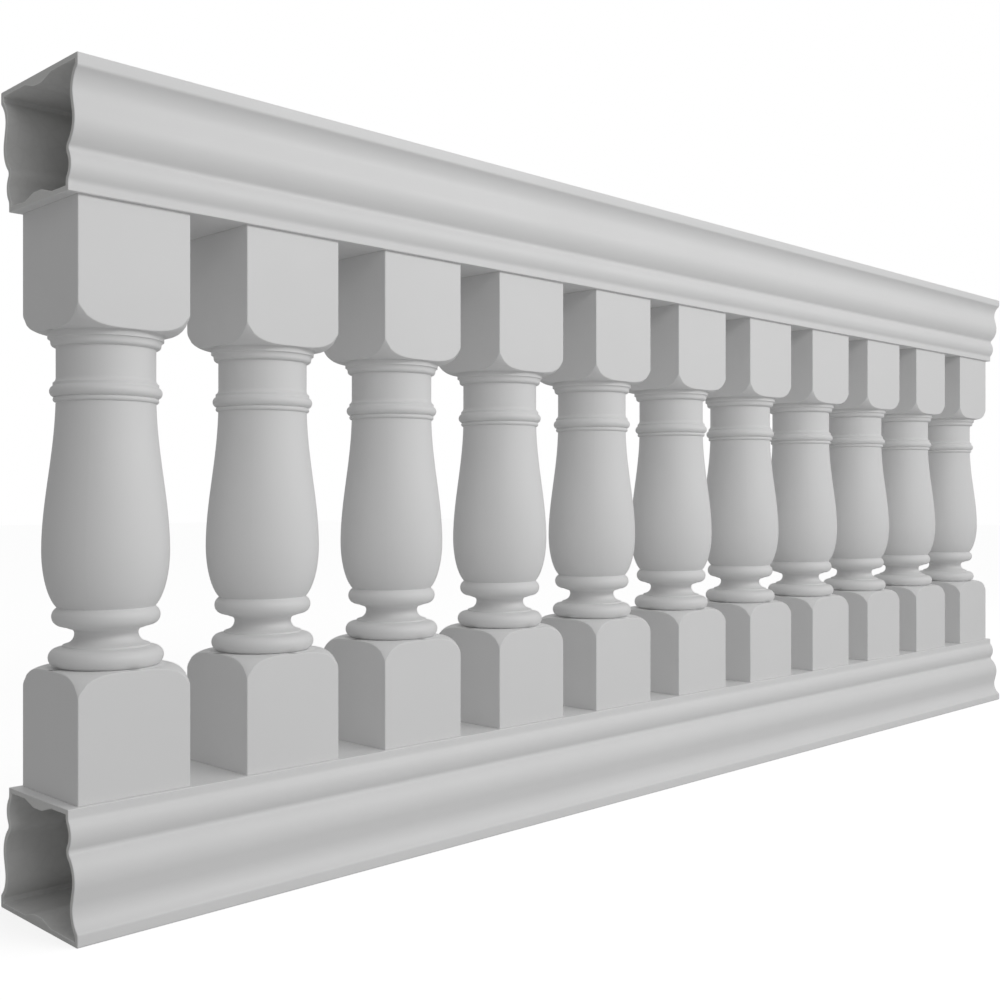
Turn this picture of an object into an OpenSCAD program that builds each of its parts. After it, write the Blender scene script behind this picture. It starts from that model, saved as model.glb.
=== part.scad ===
// Fiberglass balustrade section.
// Two hollow moulded rails, the lower one turned over, with a row of turned
// balusters standing between them. The origin is under the middle of the lower
// rail: X runs along the rails, Y across them, Z up. Millimetres.

/* [Layout] */
// Length of both rails
rail_length = 2133.6; // [1778:0.1:2600]
// Number of balusters in the row
baluster_count = 11; // [7:1:14]
// Rail end to the first and last baluster's block
end_overhang = 12.7; // [0:0.1:60]

/* [Baluster blocks] */
// Height of a baluster, seat to seat
baluster_height = 612; // [510:0.5:740]
// Side of the square blocks
block_width = 127; // [105:0.5:153]
// Height of each block, seat to turned shoulder
block_height = 129.8; // [100:0.1:156]
// Radius of the turned rounding over a block's corners
shoulder_radius = 26.8; // [20:0.1:33]

/* [Rail moulding] */
// Height of a rail, wide face to narrow face
rail_height = 132; // [125:0.5:160]
// Thickness of the laminate
wall = 5.4; // [3:0.1:9]
// How far the rail's narrow face stands out past the blocks seated on it
seat_margin = 4.9; // [0.5:0.1:12]
// How far the fascia stands out past the narrow face, on each side
fascia_projection = 20.1; // [16:0.1:26]
// The same for the deepest line of the cove
cove_projection = 9.1; // [6:0.1:12]
// The same for the crown of the ovolo
ovolo_projection = 14; // [11:0.1:17]
// The same for the crown of the bead
bead_projection = 6.1; // [4:0.1:9]
// Height of the plain fascia, down to its rounded lip
fascia_height = 14.4; // [10:0.1:22]
// Rounding of the fascia's lower lip
lip_radius = 4; // [2:0.1:6]
// Radius of the hollow cove
cove_radius = 26; // [20:0.5:34]
// Radius of the ovolo
ovolo_radius = 33; // [28:0.5:38]
// Distance of the ovolo's crown from the bead's crown
ovolo_to_bead = 44; // [40:0.5:50]
// Radius of the bead
bead_radius = 22; // [18:0.5:25]
// Radius of the soft quirk between the ovolo and the bead
quirk_radius = 5; // [3:0.5:8]
// Radius of the sweep from the bead into the rail's edge
edge_sweep = 8; // [4:0.5:9]
// Distance of the bead's crown from the narrow face
bead_to_face = 26; // [22:0.5:34]
// Rounding of the rail's outer corners
rail_corner = 2; // [0.5:0.1:4]
// Extra thickness of the stiffening spine inside the wide and narrow walls
spine_depth = 6; // [2:0.1:12]
// Width of the spine at its root
spine_root = 60; // [40:1:80]
// Width of the spine at its tip
spine_tip = 18; // [6:1:36]

/* [Baluster foot] */
// How far the torus standing on the lower block lies in from the block's faces
foot_margin = 4.2; // [1:0.1:9]
// Radius of that torus's round
foot_round = 10; // [7:0.1:11]
// Radius of the scotia at its waist
waist_radius = 32.8; // [28:0.1:40]
// How far the fillet over the foot torus lies in from the torus
foot_setback = 14.3; // [10:0.1:17]
// Rise of the torus's flat top to that fillet
foot_slope = 1.2; // [0.6:0.1:3]
// Height of the fillet
foot_fillet = 1.6; // [0.8:0.1:3]
// Height of the waist above the fillet
waist_rise = 12; // [11:0.1:16]
// Radius of the scotia's lower hollow
scotia_sweep = 11; // [8:0.1:11]
// Radius of the scotia's upper hollow
scotia_round = 5.4; // [4:0.1:8]
// Fillet between the scotia and the torus above it
scotia_lip = 2.6; // [0.6:0.1:4]
// Largest radius of the torus under the vase
collar_torus_radius = 55.8; // [52:0.1:60]
// Radius of that torus's round
collar_torus_round = 10.6; // [8:0.1:12]

/* [Baluster vase] */
// Largest radius of the vase
belly_radius = 65.7; // [60:0.1:70]
// Height of the belly above the crown of the torus under it
belly_rise = 69.8; // [60:0.1:90]
// How far the vase's lower curve would draw in, at its own foot
belly_draw = 24; // [18:0.5:28]
// Drop over which the vase's lower curve turns fully in
belly_drop = 65; // [62:0.5:80]
// Radius of the slender neck
neck_radius = 51.3; // [46:0.1:54]
// How soon the vase draws in over the belly; under 1 is sooner
neck_draw = 0.94; // [0.75:0.01:1]

/* [Baluster ring and cap] */
// Distance of the ring's bead below the upper block's shoulder
ring_drop = 61.6; // [50:0.1:80]
// Largest radius of the ring's bead
ring_radius = 57.9; // [56:0.1:61]
// Radius of the ring bead's round
ring_round = 6.4; // [5:0.1:7]
// Radius of the fillet over the bead and of the small bead under it
fillet_radius = 54.4; // [53:0.1:56]
// Radius of the small bead's round
under_bead_round = 2.8; // [2:0.1:4]
// Height of the fillet over the bead
over_fillet = 3.2; // [2:0.1:6]
// Radius of the cove that dies into the neck over the ring
ring_cove = 6; // [4:0.1:9]
// How far the plain band under the upper block lies in from the block's faces
cap_margin = 3.9; // [1:0.1:9]
// Height of that band
cap_height = 6.4; // [3:0.1:9]
// How far the crown of the bead under the band lies in from the band
cap_bead_setback = 3; // [1:0.1:4]
// Radius of that bead's round
cap_bead_round = 3.8; // [2.5:0.1:5]
// Height of the small cove between the bead and the band
cap_cove = 4.6; // [2:0.1:6]

/* [Hidden] */
// Steps in each small moulding's arc, and in each long curve of the vase
ARC_STEPS = 10;
VASE_STEPS = 26;
TURNED_FN = 96;
// How far the ring's two beads run into each other
BEAD_OVERLAP = 0.6;
// How far round the small bead's lower side and the foot torus's upper side are drawn
BEAD_TUCK = 75;
// Room past a block in the shape that cuts its shoulders
CUT_ROOM = 5;

function node_number(i) = str(i < 10 ? "0" : "", i);
function baluster_name(i) = str("baluster_", node_number(i));

FIBERGLASS = "gainsboro";

overall_height = baluster_height + 2 * rail_height;
pitch = (rail_length - 2 * end_overhang - block_width) / (baluster_count - 1);
row_start = -(rail_length - block_width) / 2 + end_overhang;

// --- Curves ------------------------------------------------------------------

// Points on a circle's arc, both ends included
function arc(centre, radius, from, to, steps = ARC_STEPS) =
    [for (k = [0:steps])
        let (a = from + (to - from) * k / steps)
        centre + radius * [cos(a), sin(a)]];

// Where two circles cross, on the side with the larger X
function crossing(c1, r1, c2, r2) =
    let (d = norm(c2 - c1))
    let (along = (d * d + r1 * r1 - r2 * r2) / (2 * d))
    let (aside = sqrt(r1 * r1 - along * along))
    let (u = (c2 - c1) / d)
    c1 + along * u + aside * [u[1], -u[0]];

// Direction from one point to another, in degrees
function heading(from, to) = atan2(to[1] - from[1], to[0] - from[0]);

function mirrored(points) =
    [for (k = [len(points) - 1:-1:0]) [-points[k][0], points[k][1]]];

// --- Rail --------------------------------------------------------------------
// The section is drawn with the wide face at 0 and the narrow face at
// rail_height, one half at a time. An inset of the wall's thickness gives the
// inner face: round crowns shrink by it and the hollow cove grows.

half_seat = block_width / 2 + seat_margin;
half_width = half_seat + fascia_projection;
bead_centre = [half_seat + bead_projection - bead_radius, rail_height - bead_to_face];
ovolo_centre = [half_seat + ovolo_projection - ovolo_radius, bead_centre[1] - ovolo_to_bead];

// The lip touches the cove, which fixes how far the cove lies below the fascia
lip_centre_x = half_width - lip_radius;
cove_centre_x = half_seat + cove_projection + cove_radius;
cove_run = cove_centre_x - lip_centre_x;
lip_turn = acos(cove_run / (lip_radius + cove_radius));
lip_centre = [lip_centre_x, fascia_height - lip_radius * sin(lip_turn)];
cove_centre = lip_centre + (lip_radius + cove_radius) * [cos(lip_turn), sin(lip_turn)];

// A straight slope joins the cove to the ovolo, touching both
slope_turn = heading(ovolo_centre, cove_centre)
    + acos((cove_radius + ovolo_radius) / norm(cove_centre - ovolo_centre));

// A round of the quirk's radius touches the ovolo and the bead from outside
quirk_centre = crossing(ovolo_centre, ovolo_radius + quirk_radius,
                        bead_centre, bead_radius + quirk_radius);
quirk_out = heading(ovolo_centre, quirk_centre);
quirk_back = heading(bead_centre, quirk_centre);

// The sweep touches the bead from outside and the rail's edge
sweep_run = half_seat + edge_sweep - bead_centre[0];
sweep_centre = bead_centre
    + [sweep_run, sqrt(pow(bead_radius + edge_sweep, 2) - pow(sweep_run, 2))];
sweep_turn = heading(bead_centre, sweep_centre);

function cove_arc(grow, start) =
    arc(cove_centre, cove_radius + grow, start, 180 + slope_turn);

// Ovolo, quirk, bead and sweep, inset from the outer face
function bead_side(inset) = concat(
    arc(ovolo_centre, ovolo_radius - inset, slope_turn, quirk_out),
    arc(quirk_centre, quirk_radius + inset, 180 + quirk_out, 180 + quirk_back, 6),
    arc(bead_centre, bead_radius - inset, quirk_back, sweep_turn),
    arc(sweep_centre, edge_sweep + inset, 180 + sweep_turn, 180, 6)
);

function rail_half_outer() = concat(
    arc([half_width - rail_corner, rail_corner], rail_corner, -90, 0, 4),
    arc(lip_centre, lip_radius, 0, lip_turn, 5),
    cove_arc(0, 180 + lip_turn),
    bead_side(0),
    [[half_seat, rail_height]]
);

function rail_half_inner() =
    let (cove_r = cove_radius + wall)
    let (face = half_width - wall)
    let (cove_start = 180 + acos((cove_centre[0] - face) / cove_r))
    concat(
        [[spine_tip / 2, wall + spine_depth], [spine_root / 2, wall], [face, wall]],
        cove_arc(wall, cove_start),
        bead_side(wall),
        [[half_seat - wall, rail_height - wall], [spine_root / 2, rail_height - wall],
         [spine_tip / 2, rail_height - wall - spine_depth]]
    );

module rail_section() {
    difference() {
        polygon(concat(rail_half_outer(), mirrored(rail_half_outer())));
        polygon(concat(rail_half_inner(), mirrored(rail_half_inner())));
    }
}

// A rail lying with its wide face on the ground
module rail() {
    color(FIBERGLASS)
        rotate([90, 0, 90])
            linear_extrude(rail_length, center = true)
                rail_section();
}

module bottom_rail() {
    rail();
}

module top_rail() {
    translate([0, 0, overall_height])
        mirror([0, 0, 1])
            rail();
}

// --- Baluster ----------------------------------------------------------------
// Heights are measured from the baluster's own seat on the lower rail.

foot_radius = block_width / 2 - foot_margin;
cap_radius = block_width / 2 - cap_margin;
foot_level = block_height;
neck_level = baluster_height - block_height;
foot_crown = foot_level + foot_round;
foot_top = [foot_radius - foot_round, foot_level + 2 * foot_round];
scotia_foot = [foot_radius - foot_setback, foot_top[1] + foot_slope + foot_fillet];
waist_level = scotia_foot[1] + waist_rise;
scotia_top = waist_level + scotia_round;
collar_foot = scotia_top + scotia_lip;
collar_crown = collar_foot + collar_torus_round;
belly_level = collar_crown + belly_rise;
ring_level = neck_level - ring_drop;
under_bead_level = ring_level - ring_round - under_bead_round + BEAD_OVERLAP;
ring_foot = under_bead_level - under_bead_round * sin(BEAD_TUCK);

// The vase's lower curve: a quarter ellipse drawing in below the belly
function under_belly(z) =
    belly_radius - belly_draw * (1 - sqrt(1 - pow((belly_level - z) / belly_drop, 2)));

// The vase's upper curve: a cosine from the belly to the neck
function over_belly(z) =
    let (rise = pow((z - belly_level) / (ring_level - belly_level), neck_draw))
    neck_radius + (belly_radius - neck_radius) * (1 + cos(180 * rise)) / 2;

// Height on the collar torus where the vase's lower curve meets it
function vase_foot(low, high, tries = 24) =
    let (z = (low + high) / 2)
    tries == 0 ? z
    : collar_radius_at(z) > under_belly(z) ? vase_foot(z, high, tries - 1)
    : vase_foot(low, z, tries - 1);

function collar_radius_at(z) =
    collar_torus_radius - collar_torus_round
        + sqrt(max(0, pow(collar_torus_round, 2) - pow(z - collar_crown, 2)));

// Torus, fillet, a slope that touches the lower hollow, and the upper hollow
function foot_profile() =
    let (hollow = [waist_radius + scotia_sweep, waist_level])
    let (reach = acos(scotia_sweep / norm(scotia_foot - hollow)))
    let (touch = 360 + heading(hollow, scotia_foot) - reach)
    concat(
        arc([foot_top[0], foot_crown], foot_round, -90, BEAD_TUCK),
        [scotia_foot - [0, foot_fillet], scotia_foot],
        arc(hollow, scotia_sweep, touch, 180, 6),
        arc([waist_radius + scotia_round, waist_level], scotia_round, 180, 90, 6),
        [[collar_torus_radius - collar_torus_round, collar_foot]]
    );

function vase_profile() =
    let (join = vase_foot(max(collar_crown, belly_level - belly_drop),
                          collar_crown + collar_torus_round))
    let (join_turn = asin((join - collar_crown) / collar_torus_round))
    concat(
        arc([collar_torus_radius - collar_torus_round, collar_crown],
            collar_torus_round, -90, join_turn),
        [for (k = [1:VASE_STEPS])
            let (z = join + (belly_level - join) * sin(90 * k / VASE_STEPS))
            [under_belly(z), z]],
        [for (k = [1:VASE_STEPS])
            let (z = belly_level + (ring_foot - belly_level) * k / VASE_STEPS)
            [over_belly(z), z]]
    );

function ring_profile() =
    let (ring_centre = [ring_radius - ring_round, ring_level])
    let (under_centre = [fillet_radius - under_bead_round, under_bead_level])
    let (groove = crossing(under_centre, under_bead_round, ring_centre, ring_round))
    let (edge = acos((fillet_radius - ring_centre[0]) / ring_round))
    let (fillet_top = ring_level + ring_round * sin(edge) + over_fillet)
    let (cove_centre_r = neck_radius + ring_cove)
    let (cove_turn = acos((cove_centre_r - fillet_radius) / ring_cove))
    concat(
        arc(under_centre, under_bead_round, -BEAD_TUCK, heading(under_centre, groove), 6),
        arc(ring_centre, ring_round, heading(ring_centre, groove), edge),
        arc([cove_centre_r, fillet_top + ring_cove * sin(cove_turn)], ring_cove,
            180 + cove_turn, 180, 6)
    );

function cap_profile() =
    let (band_bottom = neck_level - cap_height)
    let (bead_level = band_bottom - cap_cove)
    let (bead_crown = cap_radius - cap_bead_setback)
    concat(
        [[neck_radius, bead_level - cap_bead_round]],
        arc([bead_crown - cap_bead_round, bead_level], cap_bead_round, -90, 0, 6),
        [for (a = [0:15:90])
            [bead_crown + cap_bead_setback * (1 - cos(a)), bead_level + cap_cove * sin(a)]],
        [[cap_radius, neck_level]]
    );

module turned_part() {
    rotate_extrude($fn = TURNED_FN)
        polygon(concat([[0, foot_level]], foot_profile(), vase_profile(), ring_profile(),
                       cap_profile(), [[0, neck_level]]));
}

// Square block standing on its seat, its upper corners turned off
module block() {
    corner = block_width / sqrt(2);
    intersection() {
        translate([-block_width / 2, -block_width / 2, 0])
            cube([block_width, block_width, block_height]);
        rotate_extrude($fn = TURNED_FN)
            polygon(concat(
                [[0, -CUT_ROOM], [corner + CUT_ROOM, -CUT_ROOM],
                 [corner + CUT_ROOM, block_height - shoulder_radius]],
                arc([corner - shoulder_radius, block_height - shoulder_radius],
                    shoulder_radius, 0, 90),
                [[0, block_height]]));
    }
}

module baluster() {
    color(FIBERGLASS)
        union() {
            turned_part();
            block();
            translate([0, 0, baluster_height])
                mirror([0, 0, 1])
                    block();
        }
}

module baluster_in_row(i) {
    translate([row_start + (i - 1) * pitch, 0, rail_height])
        baluster();
}

// --- Nodes -------------------------------------------------------------------

bottom_rail();
top_rail();
for (i = [1:baluster_count])
    baluster_in_row(i);
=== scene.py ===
"""Looks of a fiberglass balustrade section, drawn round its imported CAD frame.

Two hollow moulded rails hold a row of turned balusters between them. Sizes in
the classes are millimetres, as a moulder would write them, and every mesh is
written in metres in the frame's own coordinates: X along the rails, Y across
them, Z up. Places along the row come from the frame's boxes.
"""

import logging
import math
from dataclasses import dataclass, field
from enum import Enum, IntEnum
from typing import Any

import bpy
import numpy as np
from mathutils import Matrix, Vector


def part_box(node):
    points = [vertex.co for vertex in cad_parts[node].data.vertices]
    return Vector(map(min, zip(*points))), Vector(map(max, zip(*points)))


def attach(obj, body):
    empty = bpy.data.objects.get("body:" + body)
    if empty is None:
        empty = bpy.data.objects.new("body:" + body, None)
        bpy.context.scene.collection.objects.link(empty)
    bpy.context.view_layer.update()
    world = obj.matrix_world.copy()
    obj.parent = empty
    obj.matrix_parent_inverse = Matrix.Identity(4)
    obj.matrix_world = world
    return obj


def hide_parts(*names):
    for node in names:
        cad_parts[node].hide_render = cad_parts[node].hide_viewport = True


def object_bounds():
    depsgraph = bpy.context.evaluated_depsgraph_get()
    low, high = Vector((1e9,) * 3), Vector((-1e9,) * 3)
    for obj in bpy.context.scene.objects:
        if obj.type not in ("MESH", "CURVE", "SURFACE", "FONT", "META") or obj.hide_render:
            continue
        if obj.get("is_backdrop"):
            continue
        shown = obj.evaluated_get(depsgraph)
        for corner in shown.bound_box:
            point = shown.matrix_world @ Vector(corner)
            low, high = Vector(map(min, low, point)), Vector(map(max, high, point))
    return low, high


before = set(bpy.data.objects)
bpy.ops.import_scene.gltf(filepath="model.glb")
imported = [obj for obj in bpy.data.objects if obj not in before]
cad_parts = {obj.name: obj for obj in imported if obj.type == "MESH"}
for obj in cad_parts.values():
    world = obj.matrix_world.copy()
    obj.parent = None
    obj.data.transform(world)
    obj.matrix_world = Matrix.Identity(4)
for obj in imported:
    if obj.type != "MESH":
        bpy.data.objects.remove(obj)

Array = np.ndarray
MM = 0.001
# A softened corner takes at most this share of the shorter edge that it lies on
LARGEST_REACH = 0.4
# One more point lies on each edge at this many times the reach, so that shading stays flat
GUARD_REACH = 1.25
LOG = logging.getLogger("balustrade")


# --- Plane curves --------------------------------------------------------------


def arc(centre: Array, radius: float, start: float, end: float, steps: int) -> Array:
    """Points on a circle's arc: centre plus radius times (cosine, sine) of evenly spaced angles.

    Args:
        centre: Centre of the circle.
        radius: Radius of the circle.
        start: First angle, in degrees.
        end: Last angle, in degrees.
        steps: Number of chords.

    Returns:
        An array of steps + 1 points.
    """
    angle = np.radians(np.linspace(start, end, steps + 1))
    return np.asarray(centre) + radius * np.column_stack([np.cos(angle), np.sin(angle)])


def heading(origin: Array, target: Array) -> float:
    """Direction from one point to another, in degrees."""
    return math.degrees(math.atan2(target[1] - origin[1], target[0] - origin[0]))


def crossing(centre_a: Array, radius_a: float, centre_b: Array, radius_b: float) -> Array:
    """Where two circles cross, on the side with the larger X.

    The chord between the crossings stands at (d^2 + ra^2 - rb^2) / 2d along the line of centres,
    and half of it is the root of ra^2 less the square of that.

    Args:
        centre_a: Centre of the first circle.
        radius_a: Radius of the first circle.
        centre_b: Centre of the second circle.
        radius_b: Radius of the second circle.

    Returns:
        The crossing point.
    """
    gap = centre_b - centre_a
    distance = float(np.hypot(*gap))
    along = (distance**2 + radius_a**2 - radius_b**2) / (2 * distance)
    aside = math.sqrt(radius_a**2 - along**2)
    unit = gap / distance
    return centre_a + along * unit + aside * np.array([unit[1], -unit[0]])


def bend(before: Array, corner: Array, after: Array, t: Array) -> Array:
    """A quadratic curve: (1-t)^2 before + 2t(1-t) corner + t^2 after, for t from 0 to 1.

    Args:
        before: Where the curve begins.
        corner: Where it heads at first, and comes from at last.
        after: Where the curve ends.
        t: Shares of the way along it.

    Returns:
        The curve's values, one for each share.
    """
    return (1 - t) ** 2 * before + 2 * t * (1 - t) * corner + t**2 * after


def soft_corner(before: Array, corner: Array, after: Array, steps: int) -> Array:
    """A bend that leaves one point, heads for the corner and ends at another point.

    Args:
        before: Point on the edge that comes into the corner.
        corner: The sharp corner that the curve takes off.
        after: Point on the edge that leaves the corner.
        steps: Number of chords.

    Returns:
        An array of steps + 1 points.
    """
    return bend(before, corner, after, np.linspace(0.0, 1.0, steps + 1)[:, None])


def toward(origin: Array, target: Array, distance: float) -> Array:
    """The point at a distance from origin on the way to target."""
    gap = np.asarray(target) - np.asarray(origin)
    return np.asarray(origin) + gap * (distance / np.hypot(*gap))


def soften(points: Array, radius: float, smallest_turn: float, steps: int = 4) -> Array:
    """Takes off every sharp corner of an open outline with a short curve.

    Each corner that turns by more than smallest_turn becomes a bend between the points that lie
    radius before and after it, with one more point just outside each of its ends. All corners are
    worked out at once, and the points of a gentle corner are then thinned to the corner itself.

    Args:
        points: The outline's corners, in order.
        radius: Distance from a corner at which its curve begins, in mm.
        smallest_turn: Turns under this many degrees are left alone.
        steps: Number of chords in a curve.

    Returns:
        The softened outline.
    """
    middle = points[1:-1]
    back, ahead = points[:-2] - middle, points[2:] - middle
    back_length = np.hypot(back[:, 0], back[:, 1])
    ahead_length = np.hypot(ahead[:, 0], ahead[:, 1])
    back, ahead = back / back_length[:, None], ahead / ahead_length[:, None]
    turn = 180 - np.degrees(np.arccos(np.clip((back * ahead).sum(1), -1, 1)))
    shorter = np.minimum(back_length, ahead_length)
    reach = np.minimum(radius, LARGEST_REACH * shorter)[:, None]
    before, after = middle + back * reach, middle + ahead * reach
    t = np.linspace(0.0, 1.0, steps + 1)[None, :, None]
    softened = np.concatenate(
        [
            (middle + back * reach * GUARD_REACH)[:, None],
            bend(before[:, None], middle[:, None], after[:, None], t),
            (middle + ahead * reach * GUARD_REACH)[:, None],
        ],
        axis=1,
    )
    keep = np.ones(softened.shape[:2], bool)
    gentle = turn < smallest_turn
    keep[gentle] = False
    keep[gentle, 0] = True
    softened[gentle, 0] = middle[gentle]
    return np.concatenate([points[:1], softened[keep], points[-1:]])


# --- Meshes ----------------------------------------------------------------------


def wrapped_quads(rows: int, columns: int, wrap_rows: bool) -> Array:
    """Faces of a grid whose columns run round and close.

    Args:
        rows: Number of rows of points.
        columns: Number of points in a row, without a repeat of the first.
        wrap_rows: Whether the last row joins the first one too.

    Returns:
        An array of four point numbers a face, row by row.
    """
    row = np.arange(rows if wrap_rows else rows - 1)[:, None]
    column = np.arange(columns)[None, :]
    following_row, following_column = (row + 1) % rows, (column + 1) % columns
    corners = [
        row * columns + column,
        row * columns + following_column,
        following_row * columns + following_column,
        following_row * columns + column,
    ]
    return np.stack(corners, axis=-1).reshape(-1, 4)


def signed_volume(vertices: Array, triangles: Array) -> float:
    """Sum over the triangles of a . (b x c) / 6, which is negative where faces point inwards."""
    a, b, c = (vertices[triangles[:, k]] for k in range(3))
    return float(np.einsum("ij,ij->i", a, np.cross(b, c)).sum() / 6)


def make_piece(
    name: str,
    vertices: Array,
    quads: Array,
    triangles: Array,
    materials: list[bpy.types.Material],
    quad_material: Array | None = None,
) -> bpy.types.Object:
    """Makes a smooth-shaded closed mesh object with its faces outwards.

    Args:
        name: Name of the piece.
        vertices: Points, in mm, in the frame's coordinates.
        quads: Four point numbers a face.
        triangles: Three point numbers a face, or an empty array.
        materials: The piece's materials, in slot order.
        quad_material: Slot number of each quad, or None for the first slot.

    Returns:
        The new object, at the origin, linked to the scene.
    """
    split = np.concatenate([quads[:, [0, 1, 2]], quads[:, [0, 2, 3]], triangles.reshape(-1, 3)])
    if signed_volume(vertices, split) < 0:
        quads, triangles = quads[:, ::-1], triangles[:, ::-1]
    mesh = bpy.data.meshes.new(name)
    mesh.from_pydata(vertices * MM, [], quads.tolist() + triangles.tolist())
    for material in materials:
        mesh.materials.append(material)
    if quad_material is not None:
        index = np.zeros(len(mesh.polygons), np.int32)
        index[: len(quad_material)] = quad_material
        mesh.polygons.foreach_set("material_index", index)
    mesh.polygons.foreach_set("use_smooth", np.ones(len(mesh.polygons), bool))
    mesh.update()
    piece = bpy.data.objects.new(name, mesh)
    bpy.context.scene.collection.objects.link(piece)
    return piece


# --- Finishes --------------------------------------------------------------------


def linear(hex_colour: str) -> tuple[float, float, float, float]:
    """Turns an sRGB hex colour to the linear values that a shader takes.

    Args:
        hex_colour: Six hex digits after a hash.

    Returns:
        Red, green, blue and an alpha of 1.
    """
    channels = np.array([int(hex_colour[k : k + 2], 16) for k in (1, 3, 5)]) / 255
    value = np.where(channels <= 0.04045, channels / 12.92, ((channels + 0.055) / 1.055) ** 2.4)
    return (*value.tolist(), 1.0)


def add_node(
    tree: bpy.types.NodeTree,
    kind: str,
    settings: dict[str, Any] | None = None,
    inputs: dict[str | int, Any] | None = None,
) -> bpy.types.Node:
    """Adds a shader node with its settings and links.

    Args:
        tree: The node tree.
        kind: Blender's name for the kind of node.
        settings: Properties to set on the node.
        inputs: Sockets by name or number, each given a value or another node's output to link.

    Returns:
        The new node.
    """
    made = tree.nodes.new(kind)
    for key, value in (settings or {}).items():
        setattr(made, key, value)
    for key, value in (inputs or {}).items():
        if isinstance(value, bpy.types.NodeSocket):
            tree.links.new(value, made.inputs[key])
        else:
            made.inputs[key].default_value = value
    return made


def new_tree(name: str) -> tuple[bpy.types.Material, bpy.types.NodeTree]:
    """Makes a material with an empty node tree.

    Args:
        name: Name of the material.

    Returns:
        The material and its tree.
    """
    material = bpy.data.materials.new(name)
    material.use_nodes = True
    material.node_tree.nodes.clear()
    return material, material.node_tree


@dataclass(frozen=True)
class Gelcoat:
    """Satin polyester gelcoat, sprayed into a polished mould before the glass goes in.

    It gives the eye an even, slightly milky grey with a soft wide sheen. Seen close, it has the
    shallow ripple of a moulded skin and the pitting of the mould's own surface. Real pits are too
    fine to show, so they are drawn coarser.
    """

    name: str = "moulded_satin_gelcoat"
    colour: str = "#E6E6E6"
    shade: str = "#E2E2E2"
    roughness: float = 0.5
    roughness_spread: float = 0.06
    ior: float = 1.5
    cloud_mm: float = 160.0
    cloud_low: float = 0.3
    cloud_high: float = 0.7
    ripple_mm: float = 45.0
    ripple_depth_mm: float = 0.02
    pit_mm: float = 3.0
    pit_depth_mm: float = 0.006

    def material(self) -> bpy.types.Material:
        """Builds the material: a clouded colour and sheen, with ripple and pits as bump.

        Returns:
            The gelcoat's material.
        """
        material, tree = new_tree(self.name)
        place = add_node(tree, "ShaderNodeTexCoord").outputs["Object"]

        def noise(size_mm: float, detail: float) -> bpy.types.NodeSocket:
            """Adds noise on the piece's own coordinates.

            Args:
                size_mm: Width of its grain.
                detail: How many finer layers it carries.

            Returns:
                The noise's value.
            """
            made = add_node(
                tree,
                "ShaderNodeTexNoise",
                inputs={"Vector": place, "Scale": 1 / (size_mm * MM), "Detail": detail},
            )
            return made.outputs["Fac"]

        cloud = noise(self.cloud_mm, 3.0)
        colour = add_node(
            tree,
            "ShaderNodeMix",
            {"data_type": "RGBA"},
            {"Factor": cloud, 6: linear(self.colour), 7: linear(self.shade)},
        )
        sheen = add_node(
            tree,
            "ShaderNodeMapRange",
            inputs={
                "Value": cloud,
                "From Min": self.cloud_low,
                "From Max": self.cloud_high,
                "To Min": self.roughness - self.roughness_spread,
                "To Max": self.roughness + self.roughness_spread,
            },
        )
        ripple = add_node(
            tree,
            "ShaderNodeBump",
            inputs={
                "Height": noise(self.ripple_mm, 1.0),
                "Strength": 1.0,
                "Distance": self.ripple_depth_mm * MM,
            },
        )
        pits = add_node(
            tree,
            "ShaderNodeBump",
            inputs={
                "Height": noise(self.pit_mm, 2.0),
                "Strength": 1.0,
                "Distance": self.pit_depth_mm * MM,
                "Normal": ripple.outputs["Normal"],
            },
        )
        surface = add_node(
            tree,
            "ShaderNodeBsdfPrincipled",
            inputs={
                "Base Color": colour.outputs[2],
                "Roughness": sheen.outputs["Result"],
                "IOR": self.ior,
                "Normal": pits.outputs["Normal"],
            },
        )
        add_node(
            tree, "ShaderNodeOutputMaterial", inputs={"Surface": surface.outputs["BSDF"]}
        )
        return material


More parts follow.
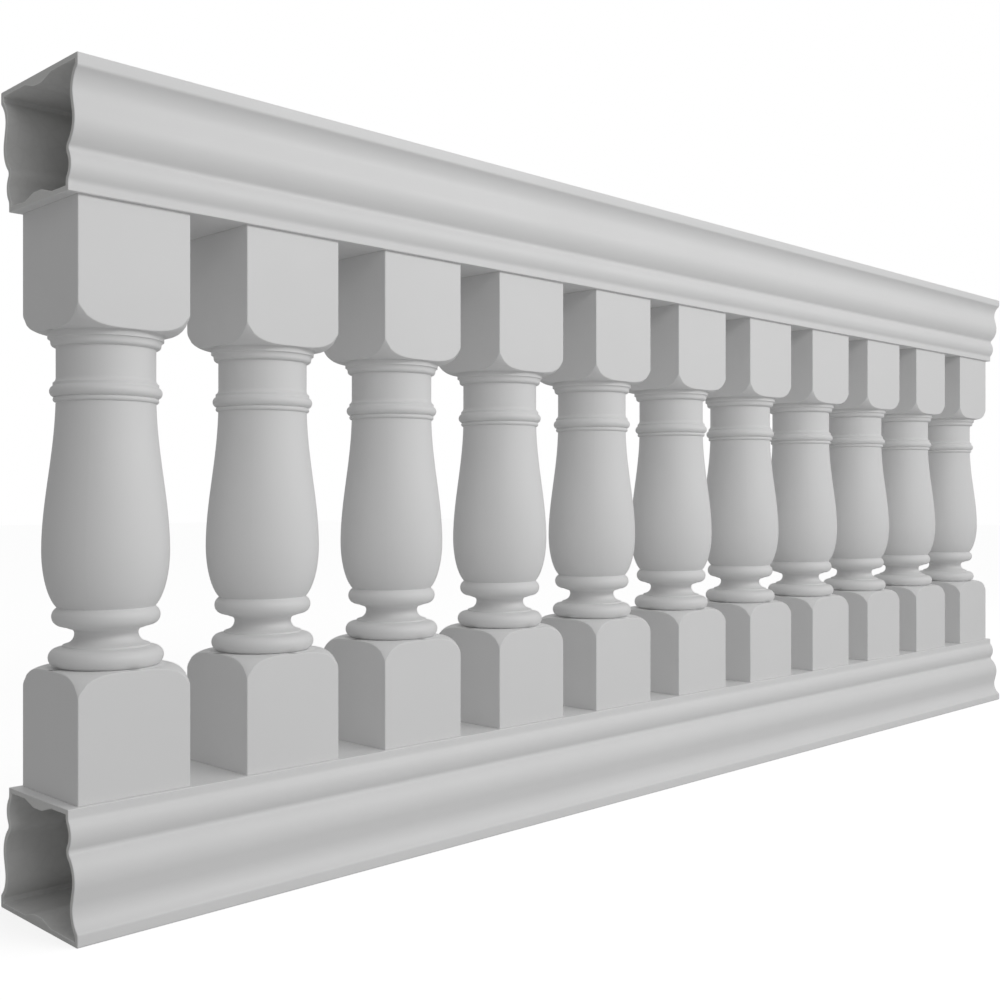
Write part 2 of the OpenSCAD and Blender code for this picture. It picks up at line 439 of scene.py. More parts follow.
@dataclass(frozen=True)
class RawLaminate:
    """The bare inner face of a chopped-strand glass laminate, rolled out by hand in resin.

    It gives the eye a duller, slightly darker grey than the gelcoat, with the short crossing
    strands of the mat standing just proud under the resin. A strand's half width and the scale of
    the swirl that bends the strands are shares of strand_mm.
    """

    name: str = "rolled_chopped_strand_laminate"
    colour: str = "#E2E2E1"
    strand_colour: str = "#DFDFDE"
    roughness: float = 0.6
    ior: float = 1.53
    strand_mm: float = 14.0
    strand_half_width: float = 0.16
    swirl_scale: float = 0.5
    strand_depth_mm: float = 0.05
    resin_cover: float = 0.6

    def material(self) -> bpy.types.Material:
        """Builds the material: the bent edges of cells are the strands, in colour and in bump.

        Returns:
            The laminate's material.
        """
        material, tree = new_tree(self.name)
        place = add_node(tree, "ShaderNodeTexCoord").outputs["Object"]
        swirl = add_node(
            tree,
            "ShaderNodeTexNoise",
            inputs={
                "Vector": place,
                "Scale": self.swirl_scale / (self.strand_mm * MM),
                "Detail": 2.0,
            },
        )
        bent = add_node(
            tree,
            "ShaderNodeVectorMath",
            {"operation": "MULTIPLY_ADD"},
            {0: swirl.outputs["Color"], 1: (self.strand_mm * MM,) * 3, 2: place},
        )
        strands = add_node(
            tree,
            "ShaderNodeTexVoronoi",
            {"feature": "DISTANCE_TO_EDGE"},
            {"Vector": bent.outputs["Vector"], "Scale": 1 / (self.strand_mm * MM)},
        )
        ridge = add_node(
            tree,
            "ShaderNodeMapRange",
            inputs={
                "Value": strands.outputs["Distance"],
                "From Min": 0.0,
                "From Max": self.strand_half_width,
                "To Min": 1.0,
                "To Max": 0.0,
            },
        )
        colour = add_node(
            tree,
            "ShaderNodeMix",
            {"data_type": "RGBA"},
            {
                "Factor": ridge.outputs["Result"],
                6: linear(self.colour),
                7: linear(self.strand_colour),
            },
        )
        bump = add_node(
            tree,
            "ShaderNodeBump",
            inputs={
                "Height": ridge.outputs["Result"],
                "Strength": self.resin_cover,
                "Distance": self.strand_depth_mm * MM,
            },
        )
        surface = add_node(
            tree,
            "ShaderNodeBsdfPrincipled",
            inputs={
                "Base Color": colour.outputs[2],
                "Roughness": self.roughness,
                "IOR": self.ior,
                "Normal": bump.outputs["Normal"],
            },
        )
        add_node(
            tree, "ShaderNodeOutputMaterial", inputs={"Surface": surface.outputs["BSDF"]}
        )
        return material


@dataclass(frozen=True)
class SawnEdge:
    """The cut edge of the laminate, sawn square and left as the blade leaves it.

    It gives the eye a dry, chalky grey with the fine layers of the glass mat in it, drawn about
    as coarse as the wall has room for.
    """

    name: str = "sawn_laminate_edge"
    colour: str = "#DEDEDD"
    layer_colour: str = "#D3D3D1"
    roughness: float = 0.85
    layer_mm: float = 1.1
    layer_depth_mm: float = 0.05
    layer_bump: float = 0.5

    def material(self) -> bpy.types.Material:
        """Builds the material: fine noise for the cut layers, in colour and in bump.

        Returns:
            The sawn edge's material.
        """
        material, tree = new_tree(self.name)
        place = add_node(tree, "ShaderNodeTexCoord").outputs["Object"]
        grain = add_node(
            tree,
            "ShaderNodeTexNoise",
            inputs={"Vector": place, "Scale": 1 / (self.layer_mm * MM), "Detail": 2.0},
        )
        colour = add_node(
            tree,
            "ShaderNodeMix",
            {"data_type": "RGBA"},
            {
                "Factor": grain.outputs["Fac"],
                6: linear(self.colour),
                7: linear(self.layer_colour),
            },
        )
        bump = add_node(
            tree,
            "ShaderNodeBump",
            inputs={
                "Height": grain.outputs["Fac"],
                "Strength": self.layer_bump,
                "Distance": self.layer_depth_mm * MM,
            },
        )
        surface = add_node(
            tree,
            "ShaderNodeBsdfPrincipled",
            inputs={
                "Base Color": colour.outputs[2],
                "Roughness": self.roughness,
                "Normal": bump.outputs["Normal"],
            },
        )
        add_node(
            tree, "ShaderNodeOutputMaterial", inputs={"Surface": surface.outputs["BSDF"]}
        )
        return material


# --- Rails -----------------------------------------------------------------------


class WideFace(Enum):
    """Which way a rail's wide face is turned."""

    DOWN = "down"
    UP = "up"


class RailFinish(IntEnum):
    """Material slots of a rail."""

    GELCOAT = 0
    LAMINATE = 1
    SAWN = 2


@dataclass(frozen=True)
class RailMoulding:
    """Section of a rail, drawn from its wide face at 0 to its narrow face at height.

    Projections are measured from the edge of the narrow face, as on the moulding's drawing. The
    arris of a softened corner is its reach, and guard is how far beyond it one more point lies.
    The outline runs past_spine beyond a spine's root, and bends there are softened from spine_turn
    degrees up. Each count of steps is the chords in one arc.
    """

    height: float = 132.0
    half_seat: float = 68.4
    wall: float = 5.4
    fascia_projection: float = 20.1
    cove_projection: float = 9.1
    ovolo_projection: float = 14.0
    bead_projection: float = 6.1
    fascia_height: float = 14.4
    lip_radius: float = 4.0
    cove_radius: float = 26.0
    ovolo_radius: float = 33.0
    ovolo_to_bead: float = 44.0
    bead_radius: float = 22.0
    quirk_radius: float = 5.0
    edge_sweep: float = 8.0
    bead_to_face: float = 26.0
    corner_radius: float = 2.0
    spine_depth: float = 6.0
    spine_root: float = 60.0
    spine_tip: float = 18.0
    arris: float = 1.0
    inner_arris: float = 1.2
    guard: float = 0.4
    past_spine: float = 8.0
    spine_turn: float = 5.0
    lip_steps: int = 7
    cove_steps: int = 14
    ovolo_steps: int = 18
    quirk_steps: int = 8
    bead_steps: int = 14
    sweep_steps: int = 6
    corner_steps: int = 5

    def half_outlines(self) -> tuple[Array, Array]:
        """Works out the outer and inner outlines of the half with positive X.

        Both run from the middle of the wide face to the middle of the narrow face and have the
        same number of points, stretch by stretch, so that they can be joined across a cut end.
        The arcs of the two share their centres: inside, round crowns lose the wall's thickness
        and hollows gain it.

        Returns:
            The outer outline and the inner outline.
        """
        wall, top = self.wall, self.height
        half = self.half_seat + self.fascia_projection
        touch = self.lip_radius + self.cove_radius
        cove_x = self.half_seat + self.cove_projection + self.cove_radius
        lip_x = half - self.lip_radius
        lip_turn = math.acos((cove_x - lip_x) / touch)
        lip = np.array([lip_x, self.fascia_height - self.lip_radius * math.sin(lip_turn)])
        cove = lip + touch * np.array([math.cos(lip_turn), math.sin(lip_turn)])
        face = half - wall
        cove_start = 180 + math.degrees(math.acos((cove_x - face) / (self.cove_radius + wall)))
        lip_turn = math.degrees(lip_turn)
        outer_side = np.concatenate(
            [
                arc(lip, self.lip_radius, 0, lip_turn, self.lip_steps),
                self._side(cove, 0.0, 180 + lip_turn),
            ]
        )
        cove_in = self._side(cove, wall, cove_start)
        inner_lip = arc(cove, self.cove_radius + wall, cove_start, cove_start, 0)[0]
        lip_in = soft_corner(
            inner_lip - [0, self.inner_arris],
            inner_lip,
            toward(inner_lip, cove_in[1], self.inner_arris),
            self.lip_steps,
        )
        inner_side = np.concatenate([lip_in, cove_in])
        outer = [
            self._flat(0.0, 0.0, 1.0),
            self._corner(half, 0.0, 1.0, self.corner_radius),
            outer_side,
            self._corner(self.half_seat, top, -1.0, self.arris),
            self._flat(top, 0.0, -1.0)[::-1],
        ]
        inner = [
            self._flat(wall, self.spine_depth, 1.0),
            self._corner(face, wall, 1.0, self.inner_arris),
            inner_side,
            self._corner(self.half_seat - wall, top - wall, -1.0, self.inner_arris),
            self._flat(top - wall, self.spine_depth, -1.0)[::-1],
        ]
        return np.concatenate(outer), np.concatenate(inner)

    def _side(self, cove: Array, inset: float, cove_start: float) -> Array:
        """Cove, ovolo, quirk, bead and sweep, set in from the outer face.

        Args:
            cove: Centre of the cove.
            inset: Distance from the outer face.
            cove_start: Angle at which the cove begins, in degrees.

        Returns:
            The moulded side's points, without the cove's first one.
        """
        bead_x = self.half_seat + self.bead_projection - self.bead_radius
        bead = np.array([bead_x, self.height - self.bead_to_face])
        ovolo_x = self.half_seat + self.ovolo_projection - self.ovolo_radius
        ovolo = np.array([ovolo_x, bead[1] - self.ovolo_to_bead])
        slope = heading(ovolo, cove) + math.degrees(
            math.acos((self.cove_radius + self.ovolo_radius) / np.hypot(*(cove - ovolo)))
        )
        quirk = crossing(
            ovolo,
            self.ovolo_radius + self.quirk_radius,
            bead,
            self.bead_radius + self.quirk_radius,
        )
        out, back = heading(ovolo, quirk), heading(bead, quirk)
        run = self.half_seat + self.edge_sweep - bead[0]
        sweep = bead + [run, math.sqrt((self.bead_radius + self.edge_sweep) ** 2 - run**2)]
        turn = heading(bead, sweep)
        return np.concatenate(
            [
                arc(cove, self.cove_radius + inset, cove_start, 180 + slope, self.cove_steps)[1:],
                arc(ovolo, self.ovolo_radius - inset, slope, out, self.ovolo_steps),
                arc(
                    quirk, self.quirk_radius + inset, 180 + out, 180 + back, self.quirk_steps
                )[1:-1],
                arc(bead, self.bead_radius - inset, back, turn, self.bead_steps),
                arc(sweep, self.edge_sweep + inset, 180 + turn, 180, self.sweep_steps)[1:],
            ]
        )

    def _corner(self, side: float, level: float, rise: float, radius: float) -> Array:
        """A rounded corner between a flat wall and the side, with a point kept on either side.

        Args:
            side: Distance of the side from the middle.
            level: Height of the flat wall.
            rise: 1 where the side goes up from the flat wall, -1 where it goes down.
            radius: Reach of the rounding.

        Returns:
            The corner's points, in the outline's order.
        """
        wall_end = np.array([side - radius, level])
        side_end = np.array([side, level + rise * radius])
        curve = soft_corner(wall_end, np.array([side, level]), side_end, self.corner_steps)
        points = np.concatenate(
            [[wall_end - [self.guard, 0]], curve, [side_end + [0, rise * self.guard]]]
        )
        return points if rise > 0 else points[::-1]

    def _flat(self, level: float, depth: float, rise: float) -> Array:
        """A flat wall with its stiffening spine, from the middle out to past the spine's root.

        Args:
            level: Height of the flat wall.
            depth: How far the spine stands out of it; 0 for the outside.
            rise: 1 where the spine stands up, -1 where it hangs down.

        Returns:
            The outline of one half, its corners softened.
        """
        tip, root = self.spine_tip / 2, self.spine_root / 2
        end = root + self.past_spine
        corners = np.array([[0.0, 1.0], [tip, 1.0], [root, 0.0], [end, 0.0]])
        softened = soften(corners * [1, self.spine_depth], self.inner_arris, self.spine_turn)
        share = softened[:, 1] / self.spine_depth
        return np.column_stack([softened[:, 0], level + rise * depth * share])

    def loops(self) -> tuple[Array, Array]:
        """Closes the outer and inner outlines with their mirrored halves.

        Returns:
            The outer loop and the inner loop, without repeated points.
        """
        outer, inner = self.half_outlines()
        flip = np.array([-1.0, 1.0])
        return (
            np.concatenate([outer, (outer * flip)[-2:0:-1]]),
            np.concatenate([inner, (inner * flip)[-2:0:-1]]),
        )


def outward(loop: Array) -> Array:
    """Unit normals of a closed outline.

    A normal is the step from the point before to the point after, turned a quarter and brought to
    length 1. The sign of the enclosed area, half the sum of x1 y2 - x2 y1, turns it outwards.

    Args:
        loop: The outline's points, without a repeat of the first.

    Returns:
        One normal for each point.
    """
    tangent = np.roll(loop, -1, 0) - np.roll(loop, 1, 0)
    normal = np.column_stack([tangent[:, 1], -tangent[:, 0]])
    normal /= np.hypot(normal[:, 0], normal[:, 1])[:, None]
    area = (loop[:, 0] * np.roll(loop[:, 1], -1) - np.roll(loop[:, 0], -1) * loop[:, 1]).sum()
    return normal * np.sign(area)


@dataclass
class Rail:
    """A hollow rail: its moulding carried along X, open at both sawn ends.

    The sawn rows are shares of the wall's thickness, from one face to the other.
    """

    node: str
    wide_face: WideFace
    moulding: RailMoulding = field(default_factory=RailMoulding)
    edge: float = 0.6
    edge_steps: int = 3
    stations: int = 30
    guard: float = 0.5
    sawn_rows: tuple[float, ...] = (0.12, 0.5, 0.88)

    def build(
        self,
        gelcoat: bpy.types.Material,
        laminate: bpy.types.Material,
        sawn: bpy.types.Material,
    ) -> bpy.types.Object:
        """Builds the rail as one closed ring of a grid and puts it in the node's place.

        The rows run along the outside from the left end to the right, turn round the sawn edge,
        run back along the inside and turn again. A row is the outline, set in from its own face
        by e(1 - sin a) at the distance e(1 - cos a) from the end, where e is the edge's rounding.

        Args:
            gelcoat: Finish of the outside.
            laminate: Finish of the inside.
            sawn: Finish of the two cut ends.

        Returns:
            The rail's object.
        """
        low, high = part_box(self.node)
        left, right = low.x / MM, high.x / MM
        outer, inner = self.moulding.loops()
        outer_out, inner_out = outward(outer), outward(inner)
        angle = np.radians(np.linspace(0, 90, self.edge_steps + 1))
        inset = self.edge * (1 - np.sin(angle))
        along = self.edge * (1 - np.cos(angle))
        near_edge = self.edge + self.guard
        middle = np.linspace(left + near_edge, right - near_edge, self.stations)
        x_out = np.concatenate([left + along, middle, right - along[::-1]])
        inset_out = np.concatenate([inset, np.zeros(self.stations), inset[::-1]])
        outside = outer[None] - outer_out[None] * inset_out[:, None, None]
        inside = inner[None] + inner_out[None] * inset_out[:, None, None]
        across = np.array(self.sawn_rows)[:, None, None]
        end_right = outside[-1][None] * (1 - across) + inside[-1][None] * across
        end_left = inside[0][None] * (1 - across) + outside[0][None] * across
        section = np.concatenate([outside, end_right, inside[::-1], end_left])
        cut = len(self.sawn_rows)
        x = np.concatenate([x_out, np.full(cut, right), x_out[::-1], np.full(cut, left)])
        rows, columns = section.shape[:2]
        height = section[..., 1]
        if self.wide_face is WideFace.UP:
            height = high.z / MM - height
        else:
            height = low.z / MM + height
        vertices = np.stack(
            [np.broadcast_to(x[:, None], (rows, columns)), section[..., 0], height], axis=-1
        ).reshape(-1, 3)
        quads = wrapped_quads(rows, columns, wrap_rows=True)
        strips = len(x_out) - 1
        row_slot = np.concatenate(
            [
                np.full(strips, RailFinish.GELCOAT),
                np.full(cut + 1, RailFinish.SAWN),
                np.full(strips, RailFinish.LAMINATE),
                np.full(cut + 1, RailFinish.SAWN),
            ]
        )
        piece = make_piece(
            f"{self.node}_moulding",
            vertices,
            quads,
            np.empty((0, 3), int),
            [gelcoat, laminate, sawn],
            np.repeat(row_slot, columns).astype(np.int32),
        )
        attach(piece, "root")
        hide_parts(self.node)
        return piece


# --- Balusters -------------------------------------------------------------------


@dataclass(frozen=True)
class Block:
    """A square block with its outer corners turned off, seen from its seat at 0.

    The seat row is a share of the way out over the seat. The face's last row lies face_guard
    arrises below the shoulder's edge. The shoulder's rows start at two shares of its turn,
    shoulder_guard and shoulder_start. Each keeps the shading flat beside a rounded edge.
    """

    width: float = 127.0
    height: float = 129.8
    shoulder: float = 26.8
    arris: float = 1.1
    seat_arris: float = 0.5
    guard: float = 0.4
    columns_a_side: int = 24
    arris_steps: int = 4
    seat_steps: int = 3
    seat_row: float = 0.5
    face_rows: int = 5
    face_guard: float = 1.4
    shoulder_guard: float = 0.03
    shoulder_start: float = 0.1
    shoulder_rows: int = 11

    def plan(self) -> tuple[Array, Array]:
        """Directions round the block, and the distance out to its face in each.

        A side holds evenly spaced directions, with one more close to each corner, and a corner is
        an arc of the arris radius. Polar form: the distance is the length of the outline's point.

        Returns:
            The angles, in radians, and the distances.
        """
        half, r = self.width / 2, self.arris
        last = math.atan2(half - r - self.guard, half)
        turn = np.linspace(-last, last, self.columns_a_side + 1)
        side = np.column_stack([np.full(len(turn), half), half * np.tan(turn)])
        corner = arc(np.array([half - r, half - r]), r, 0, 90, self.arris_steps)
        quarter = np.concatenate([side, corner])
        angle = np.radians([0, 90, 180, 270])[:, None]
        x = quarter[:, 0] * np.cos(angle) - quarter[:, 1] * np.sin(angle)
        y = quarter[:, 0] * np.sin(angle) + quarter[:, 1] * np.cos(angle)
        x, y = x.ravel(), y.ravel()
        return np.unwrap(np.arctan2(y, x)), np.hypot(x, y)

    def rows(self, distance: Array) -> tuple[Array, Array]:
        """Rows of the block's skin, from the seat's middle to the inner edge of its shoulder.

        In each direction the skin goes out along the seat, bends up into the face, bends over the
        arris, and goes in along the shoulder. The shoulder is a quarter round: radius is the
        centre's plus shoulder times cosine, height is the centre's plus shoulder times sine.

        Args:
            distance: Distance out to the face, one for each column.

        Returns:
            The radius and the height of each point, one row of columns after another.
        """
        centre_r = self.width / math.sqrt(2) - self.shoulder
        centre_z = self.height - self.shoulder
        s, a = self.seat_arris, self.arris
        face_turn = np.arccos(np.clip((distance - centre_r) / self.shoulder, -1, 1))
        edge_z = centre_z + self.shoulder * np.sin(face_turn)
        ground = np.zeros_like(distance)

        t = np.linspace(0, 1, self.seat_steps + 1)[1:-1, None]
        seat_r = bend(distance - s, distance, distance, t)
        seat_z = bend(ground, ground, ground + s, t)
        face_low, face_high = ground + 2 * s, edge_z - self.face_guard * a
        share = np.linspace(0, 1, self.face_rows + 2)[1:-1, None]
        face_z = face_low + (face_high - face_low) * share
        over = face_turn + a / self.shoulder
        over_r = centre_r + self.shoulder * np.cos(over)
        over_z = centre_z + self.shoulder * np.sin(over)
        t = np.linspace(0, 1, self.arris_steps + 1)[:, None]
        share = np.linspace(self.shoulder_start, 1, self.shoulder_rows)
        share = np.concatenate([[self.shoulder_guard], share])[:, None]
        turn = over + (np.pi / 2 - over) * share
        radius = np.concatenate(
            [
                [distance * self.seat_row, distance - 2 * s, distance - s],
                seat_r,
                [distance, distance],
                np.broadcast_to(distance, face_z.shape),
                [distance],
                bend(distance, distance, over_r, t),
                centre_r + self.shoulder * np.cos(turn),
            ]
        )
        height = np.concatenate(
            [
                [ground, ground, ground],
                seat_z,
                [ground + s, face_low],
                face_z,
                [face_high],
                bend(edge_z - a, edge_z, over_z, t),
                centre_z + self.shoulder * np.sin(turn),
            ]
        )
        return radius, height


@dataclass(frozen=True)
class Turning:
    """Profile of the turned part between the blocks, as radii at heights above the lower seat.

    Bends of more than arris_turn degrees are softened over the arris. The ladder is the row of
    heights on the collar torus that are tried for the vase's foot.
    """

    height: float = 612.0
    block: Block = field(default_factory=Block)
    foot_radius: float = 59.3
    foot_round: float = 10.0
    waist_radius: float = 32.8
    foot_setback: float = 14.3
    foot_slope: float = 1.2
    foot_fillet: float = 1.6
    waist_rise: float = 12.0
    scotia_sweep: float = 11.0
    scotia_round: float = 5.4
    scotia_lip: float = 2.6
    torus_radius: float = 55.8
    torus_round: float = 10.6
    belly_radius: float = 65.7
    belly_rise: float = 69.8
    belly_draw: float = 24.0
    belly_drop: float = 65.0
    neck_radius: float = 51.3
    neck_draw: float = 0.94
    ring_drop: float = 61.6
    ring_radius: float = 57.9
    ring_round: float = 6.4
    fillet_radius: float = 54.4
    under_bead_round: float = 2.8
    bead_overlap: float = 0.6
    bead_tuck: float = 75.0
    over_fillet: float = 3.2
    ring_cove: float = 6.0
    cap_radius: float = 59.6
    cap_height: float = 6.4
    cap_bead_setback: float = 3.0
    cap_bead_round: float = 3.8
    cap_cove: float = 4.6
    arris: float = 0.6
    arris_turn: float = 24.0
    foot_steps: int = 16
    hollow_steps: int = 8
    collar_steps: int = 14
    bead_steps: int = 8
    ring_steps: int = 10
    cove_steps: int = 7
    cap_steps: int = 6
    lower_steps: int = 30
    upper_steps: int = 32
    ladder_steps: int = 400
    ladder_end: float = 0.999

    @property
    def neck_level(self) -> float:
        """Height of the upper block's shoulder."""
        return self.height - self.block.height

    @property
    def foot_crown(self) -> float:
        """Height of the foot torus's crown."""
        return self.block.height + self.foot_round

    @property
    def scotia_foot(self) -> Array:
        """Upper edge of the fillet on the foot torus."""
        rise = self.foot_round + self.foot_slope + self.foot_fillet
        return np.array([self.foot_radius - self.foot_setback, self.foot_crown + rise])

    @property
    def waist(self) -> float:
        """Height of the scotia's waist."""
        return self.scotia_foot[1] + self.waist_rise

    @property
    def collar(self) -> Array:
        """Centre of the collar torus's round."""
        rise = self.scotia_round + self.scotia_lip + self.torus_round
        return np.array([self.torus_radius - self.torus_round, self.waist + rise])

    @property
    def belly(self) -> float:
        """Height of the vase's belly."""
        return self.collar[1] + self.belly_rise

    @property
    def ring(self) -> Array:
        """Centre of the ring bead's round."""
        return np.array([self.ring_radius - self.ring_round, self.neck_level - self.ring_drop])

    @property
    def under_bead(self) -> Array:
        """Centre of the round of the small bead under the ring."""
        drop = self.ring_round + self.under_bead_round - self.bead_overlap
        return np.array([self.fillet_radius - self.under_bead_round, self.ring[1] - drop])

    def profile(self) -> Array:
        """The turned outline from the lower shoulder to the upper one, corners softened."""
        points = np.concatenate([self._foot(), self._vase(), self._ring(), self._cap()])
        return soften(points, self.arris, self.arris_turn)

    def _foot(self) -> Array:
        """Foot torus, fillet and scotia.

        The torus is a half round. A slope leaves the fillet and touches the scotia's lower hollow,
        and a smaller hollow takes over at the waist.

        Returns:
            Radius and height of each point.
        """
        torus = [self.foot_radius - self.foot_round, self.foot_crown]
        lower = np.array([self.waist_radius + self.scotia_sweep, self.waist])
        upper = [self.waist_radius + self.scotia_round, self.waist]
        spread = math.acos(self.scotia_sweep / np.hypot(*(self.scotia_foot - lower)))
        touch = 360 + heading(lower, self.scotia_foot) - math.degrees(spread)
        return np.concatenate(
            [
                arc(torus, self.foot_round, -90, self.bead_tuck, self.foot_steps),
                [self.scotia_foot - [0, self.foot_fillet], self.scotia_foot],
                arc(lower, self.scotia_sweep, touch, 180, self.hollow_steps),
                arc(upper, self.scotia_round, 180, 90, self.hollow_steps)[1:],
                [self.collar - [0, self.torus_round]],
            ]
        )

    def _under_belly(self, level: Array) -> Array:
        """Radius of the vase below its belly: a quarter ellipse."""
        share = np.clip((self.belly - level) / self.belly_drop, 0, 1)
        return self.belly_radius - self.belly_draw * (1 - np.sqrt(1 - share**2))

    def _vase(self) -> Array:
        """Collar torus, and the vase from the torus to the foot of the small bead.

        The torus is a half round that stops where its radius comes closest to the ellipse under
        the belly, found on a fine ladder of heights. Over the belly the radius falls to the neck's
        as (1 + cos(pi u^k)) / 2, where u is the share of the rise to the ring and k neck_draw.

        Returns:
            Radius and height of each point.
        """
        crown, last = self.collar[1], self.collar[1] + self.torus_round * self.ladder_end
        level = np.linspace(crown, last, self.ladder_steps)
        torus_r = self.collar[0] + np.sqrt(self.torus_round**2 - (level - crown) ** 2)
        join = level[np.argmin(np.abs(torus_r - self._under_belly(level)))]
        join_turn = math.degrees(math.asin((join - crown) / self.torus_round))
        turn = np.linspace(0, np.pi / 2, self.lower_steps + 1)[1:]
        lower = join + (self.belly - join) * np.sin(turn)
        tuck = self.under_bead_round * math.sin(math.radians(self.bead_tuck))
        upper = np.linspace(self.belly, self.under_bead[1] - tuck, self.upper_steps + 1)[1:]
        rise = ((upper - self.belly) / (self.ring[1] - self.belly)) ** self.neck_draw
        swell = (self.belly_radius - self.neck_radius) * (1 + np.cos(np.pi * rise)) / 2
        return np.concatenate(
            [
                arc(self.collar, self.torus_round, -90, join_turn, self.collar_steps)[1:],
                np.column_stack([self._under_belly(lower), lower]),
                np.column_stack([self.neck_radius + swell, upper]),
            ]
        )

    def _ring(self) -> Array:
        """Small bead, ring bead, fillet, and the cove that dies into the neck.

        Returns:
            Radius and height of each point.
        """
        under, ring = self.under_bead, self.ring
        groove = crossing(under, self.under_bead_round, ring, self.ring_round)
        edge = math.acos((self.fillet_radius - ring[0]) / self.ring_round)
        fillet_top = ring[1] + self.ring_round * math.sin(edge) + self.over_fillet
        cove_r = self.neck_radius + self.ring_cove
        turn = math.acos((cove_r - self.fillet_radius) / self.ring_cove)
        cove = [cove_r, fillet_top + self.ring_cove * math.sin(turn)]
        tuck, under_turn, ring_turn = self.bead_tuck, heading(under, groove), heading(ring, groove)
        return np.concatenate(
            [
                arc(under, self.under_bead_round, -tuck, under_turn, self.bead_steps),
                arc(ring, self.ring_round, ring_turn, math.degrees(edge), self.ring_steps)[1:],
                arc(cove, self.ring_cove, 180 + math.degrees(turn), 180, self.cove_steps),
            ]
        )

    def _cap(self) -> Array:
        """Bead, small cove and plain band under the upper block.

        The cove is a quarter ellipse: in by setback times (1 - cosine), up by height times sine.

        Returns:
            Radius and height of each point.
        """
        bead = self.neck_level - self.cap_height - self.cap_cove
        crown = self.cap_radius - self.cap_bead_setback
        turn = np.radians(np.linspace(0, 90, self.cap_steps + 1))[1:]
        cove_r = crown + self.cap_bead_setback * (1 - np.cos(turn))
        round_centre = [crown - self.cap_bead_round, bead]
        return np.concatenate(
            [
                [[self.neck_radius, bead - self.cap_bead_round]],
                arc(round_centre, self.cap_bead_round, -90, 0, self.cove_steps),
                np.column_stack([cove_r, bead + self.cap_cove * np.sin(turn)]),
                [[self.cap_radius, self.neck_level]],
            ]
        )


@dataclass
class Baluster:
    """One moulded baluster: a block, the turning and a block, in a single closed skin."""

    node: str
    turning: Turning = field(default_factory=Turning)

    def build(self, gelcoat: bpy.types.Material) -> bpy.types.Object:
        """Builds the skin as rows of points round the axis and puts it in the node's place.

        Every row has one point in each of the block's directions, at (radius cos, radius sin).
        The rows climb the lower block, the turning, and the upper block, which is the lower one
        upside down. A single point closes the middle of each seat.

        Args:
            gelcoat: Finish of the whole baluster.

        Returns:
            The baluster's object.
        """
        low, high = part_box(self.node)
        axis = (low + high) / 2 / MM
        angle, distance = self.turning.block.plan()
        block_r, block_z = self.turning.block.rows(distance)
        profile = self.turning.profile()
        turned_r = np.repeat(profile[:, :1], len(angle), axis=1)
        turned_z = np.repeat(profile[:, 1:], len(angle), axis=1)
        radius = np.concatenate([block_r, turned_r, block_r[::-1]])
        height = np.concatenate([block_z, turned_z, self.turning.height - block_z[::-1]])
        ring = np.stack(
            [
                axis.x + radius * np.cos(angle),
                axis.y + radius * np.sin(angle),
                low.z / MM + height,
            ],
            axis=-1,
        )
        rows, columns = radius.shape
        seats = np.array([[axis.x, axis.y, low.z / MM], [axis.x, axis.y, high.z / MM]])
        vertices = np.concatenate([ring.reshape(-1, 3), seats])
        column = np.arange(columns)
        following = (column + 1) % columns
        first, last = rows * columns, (rows - 1) * columns
        triangles = np.concatenate(
            [
                np.column_stack([np.full(columns, first), following, column]),
                np.column_stack([np.full(columns, first + 1), last + column, last + following]),
            ]
        )
        quads = wrapped_quads(rows, columns, wrap_rows=False)
        piece = make_piece(f"{self.node}_skin", vertices, quads, triangles, [gelcoat])
        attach(piece, "root")
        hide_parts(self.node)
        return piece


# --- Studio ----------------------------------------------------------------------


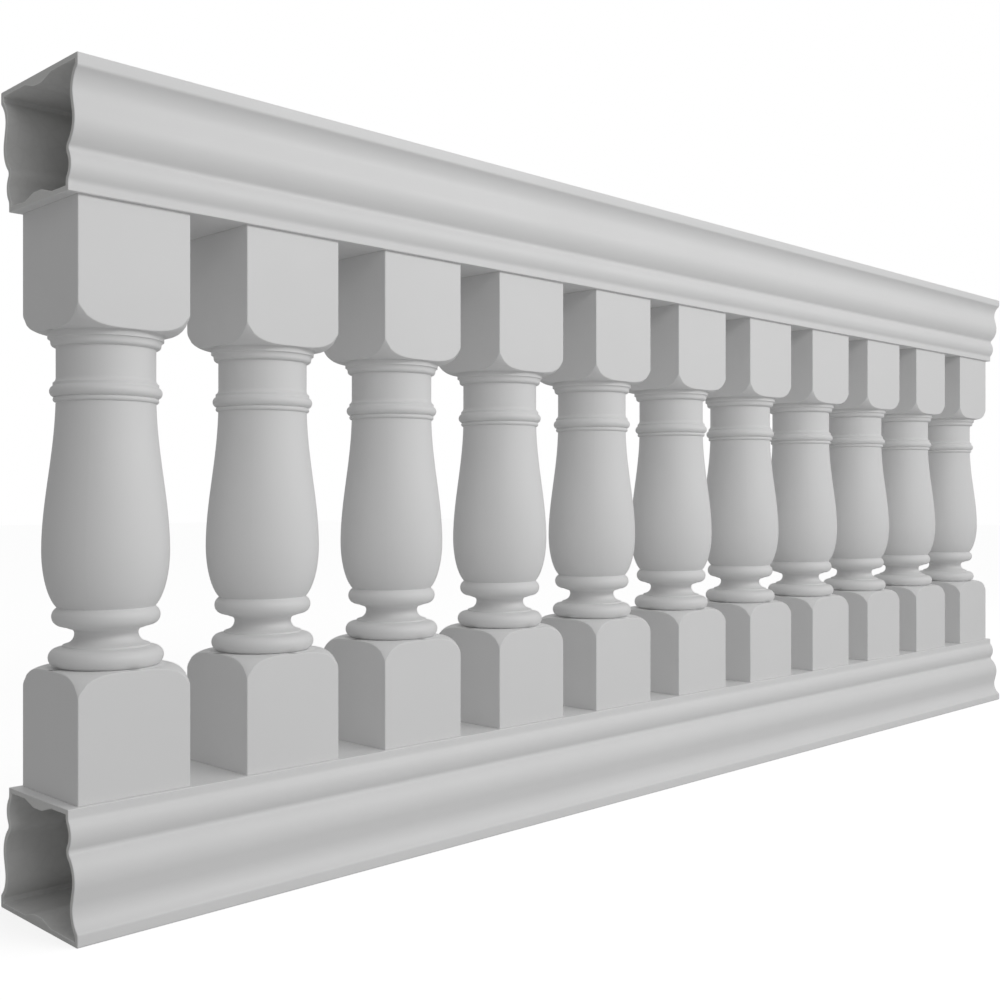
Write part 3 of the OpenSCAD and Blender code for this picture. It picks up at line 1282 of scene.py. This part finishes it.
@dataclass(frozen=True)
class Studio:
    """Pale floor, white surroundings, one wide front key and a camera at the rail's end.

    Places and sizes are metres and degrees, and the lens and sensor are millimetres.
    """

    camera_left: float = 0.5604
    camera_front: float = 1.143
    camera_turn: float = 45.0
    lens: float = 44.474
    sensor: float = 36.0
    ambient: float = 0.475
    ambient_tilt: float = 0.55
    key_watts: float = 26.0
    key_width: float = 4.0
    key_height: float = 0.6
    key_distance: float = 2.4
    key_turn: float = 4.0
    key_rise: float = 30.0
    floor_size: float = 40.0
    floor_bounce: str = "#D2D2D2"
    paper_grey: float = 0.5
    paper_glow: float = 0.74

    def camera(self, low: Vector, high: Vector) -> None:
        """Stands the camera off the left end of the front, level with the section's middle.

        Args:
            low: Low corner of the section's box.
            high: High corner of the box.
        """
        data = bpy.data.cameras.new("camera")
        data.lens = self.lens
        data.sensor_width = self.sensor
        camera = bpy.data.objects.new("camera", data)
        camera.location = (
            low.x - self.camera_left,
            low.y - self.camera_front,
            (low.z + high.z) / 2,
        )
        camera.rotation_euler = (math.radians(90), 0, math.radians(-self.camera_turn))
        bpy.context.scene.collection.objects.link(camera)
        bpy.context.scene.camera = camera

    def key(self, low: Vector, high: Vector) -> None:
        """Hangs one wide soft lamp in front of the section, above it and a little to its right.

        Args:
            low: Low corner of the section's box.
            high: High corner of the box.
        """
        data = bpy.data.lights.new("key", "AREA")
        data.energy = self.key_watts
        data.shape = "RECTANGLE"
        data.size = self.key_width
        data.size_y = self.key_height
        lamp = bpy.data.objects.new("key", data)
        turn, rise = math.radians(self.key_turn), math.radians(self.key_rise)
        flat = math.cos(rise)
        away = Vector((math.sin(turn) * flat, -math.cos(turn) * flat, math.sin(rise)))
        centre = (low + high) / 2
        lamp.location = centre + away * self.key_distance
        lamp.rotation_euler = away.to_track_quat("Z", "Y").to_euler()
        bpy.context.scene.collection.objects.link(lamp)

    def world(self) -> None:
        """Sets the surroundings: white to the camera, a soft grey as light, darker to the left."""
        world = bpy.data.worlds.new("studio")
        world.use_nodes = True
        tree = world.node_tree
        tree.nodes.clear()
        rays = add_node(tree, "ShaderNodeLightPath")
        seen = add_node(
            tree,
            "ShaderNodeMath",
            {"operation": "MAXIMUM"},
            {0: rays.outputs["Is Camera Ray"], 1: rays.outputs["Is Transmission Ray"]},
        )
        sky = add_node(
            tree,
            "ShaderNodeSeparateXYZ",
            inputs={0: add_node(tree, "ShaderNodeTexCoord").outputs["Generated"]},
        )
        tilted = add_node(
            tree,
            "ShaderNodeMath",
            {"operation": "MULTIPLY_ADD"},
            {0: sky.outputs["X"], 1: self.ambient * self.ambient_tilt, 2: self.ambient},
        )
        strength = add_node(
            tree,
            "ShaderNodeMix",
            inputs={0: seen.outputs[0], 2: tilted.outputs[0], 3: 1.0},
        )
        background = add_node(
            tree,
            "ShaderNodeBackground",
            inputs={"Color": linear("#FFFFFF"), "Strength": strength.outputs[0]},
        )
        add_node(
            tree, "ShaderNodeOutputWorld", inputs={"Surface": background.outputs["Background"]}
        )
        bpy.context.scene.world = world

    def floor(self, low: Vector) -> None:
        """Lays the floor: white to the camera but for the shadow, a duller matt grey as light.

        Args:
            low: Low corner of the section's box, which gives the floor's height.
        """
        half = self.floor_size / 2
        square = np.array([[-half, -half], [half, -half], [half, half], [-half, half]])
        mesh = bpy.data.meshes.new("floor")
        corners = np.column_stack([square, np.full(4, low.z)])
        mesh.from_pydata(corners, [], [[0, 1, 2, 3]])
        material, tree = new_tree("pale_matt_floor")
        rays = add_node(tree, "ShaderNodeLightPath")
        bounce = add_node(
            tree, "ShaderNodeBsdfDiffuse", inputs={"Color": linear(self.floor_bounce)}
        )
        grey = (self.paper_grey, self.paper_grey, self.paper_grey, 1.0)
        paper = add_node(tree, "ShaderNodeBsdfDiffuse", inputs={"Color": grey})
        glow = add_node(tree, "ShaderNodeEmission", inputs={"Strength": self.paper_glow})
        shown = add_node(
            tree,
            "ShaderNodeAddShader",
            inputs={0: paper.outputs["BSDF"], 1: glow.outputs["Emission"]},
        )
        mixed = add_node(
            tree,
            "ShaderNodeMixShader",
            inputs={
                0: rays.outputs["Is Camera Ray"],
                1: bounce.outputs["BSDF"],
                2: shown.outputs["Shader"],
            },
        )
        add_node(
            tree, "ShaderNodeOutputMaterial", inputs={"Surface": mixed.outputs["Shader"]}
        )
        mesh.materials.append(material)
        floor = bpy.data.objects.new("floor", mesh)
        bpy.context.scene.collection.objects.link(floor)
        floor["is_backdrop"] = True


def main() -> None:
    """Builds the studio, both rails and every baluster in the frame."""
    logging.basicConfig(level=logging.INFO, format="%(name)s: %(message)s")
    cad_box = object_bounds()
    bpy.context.scene.view_settings.view_transform = "Standard"
    studio = Studio()
    studio.camera(*cad_box)
    studio.key(*cad_box)
    studio.world()
    studio.floor(cad_box[0])

    gelcoat = Gelcoat().material()
    laminate = RawLaminate().material()
    sawn = SawnEdge().material()
    for node, wide_face in (("bottom_rail", WideFace.DOWN), ("top_rail", WideFace.UP)):
        rail = Rail(node, wide_face).build(gelcoat, laminate, sawn)
        LOG.info("%s: %d faces, wide face %s", rail.name, len(rail.data.polygons), wide_face.value)
    for node in sorted(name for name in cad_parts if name.startswith("baluster_")):
        baluster = Baluster(node).build(gelcoat)
        LOG.info("%s: %d faces", baluster.name, len(baluster.data.polygons))
    bpy.context.view_layer.update()


if __name__ == "__main__":
    main()
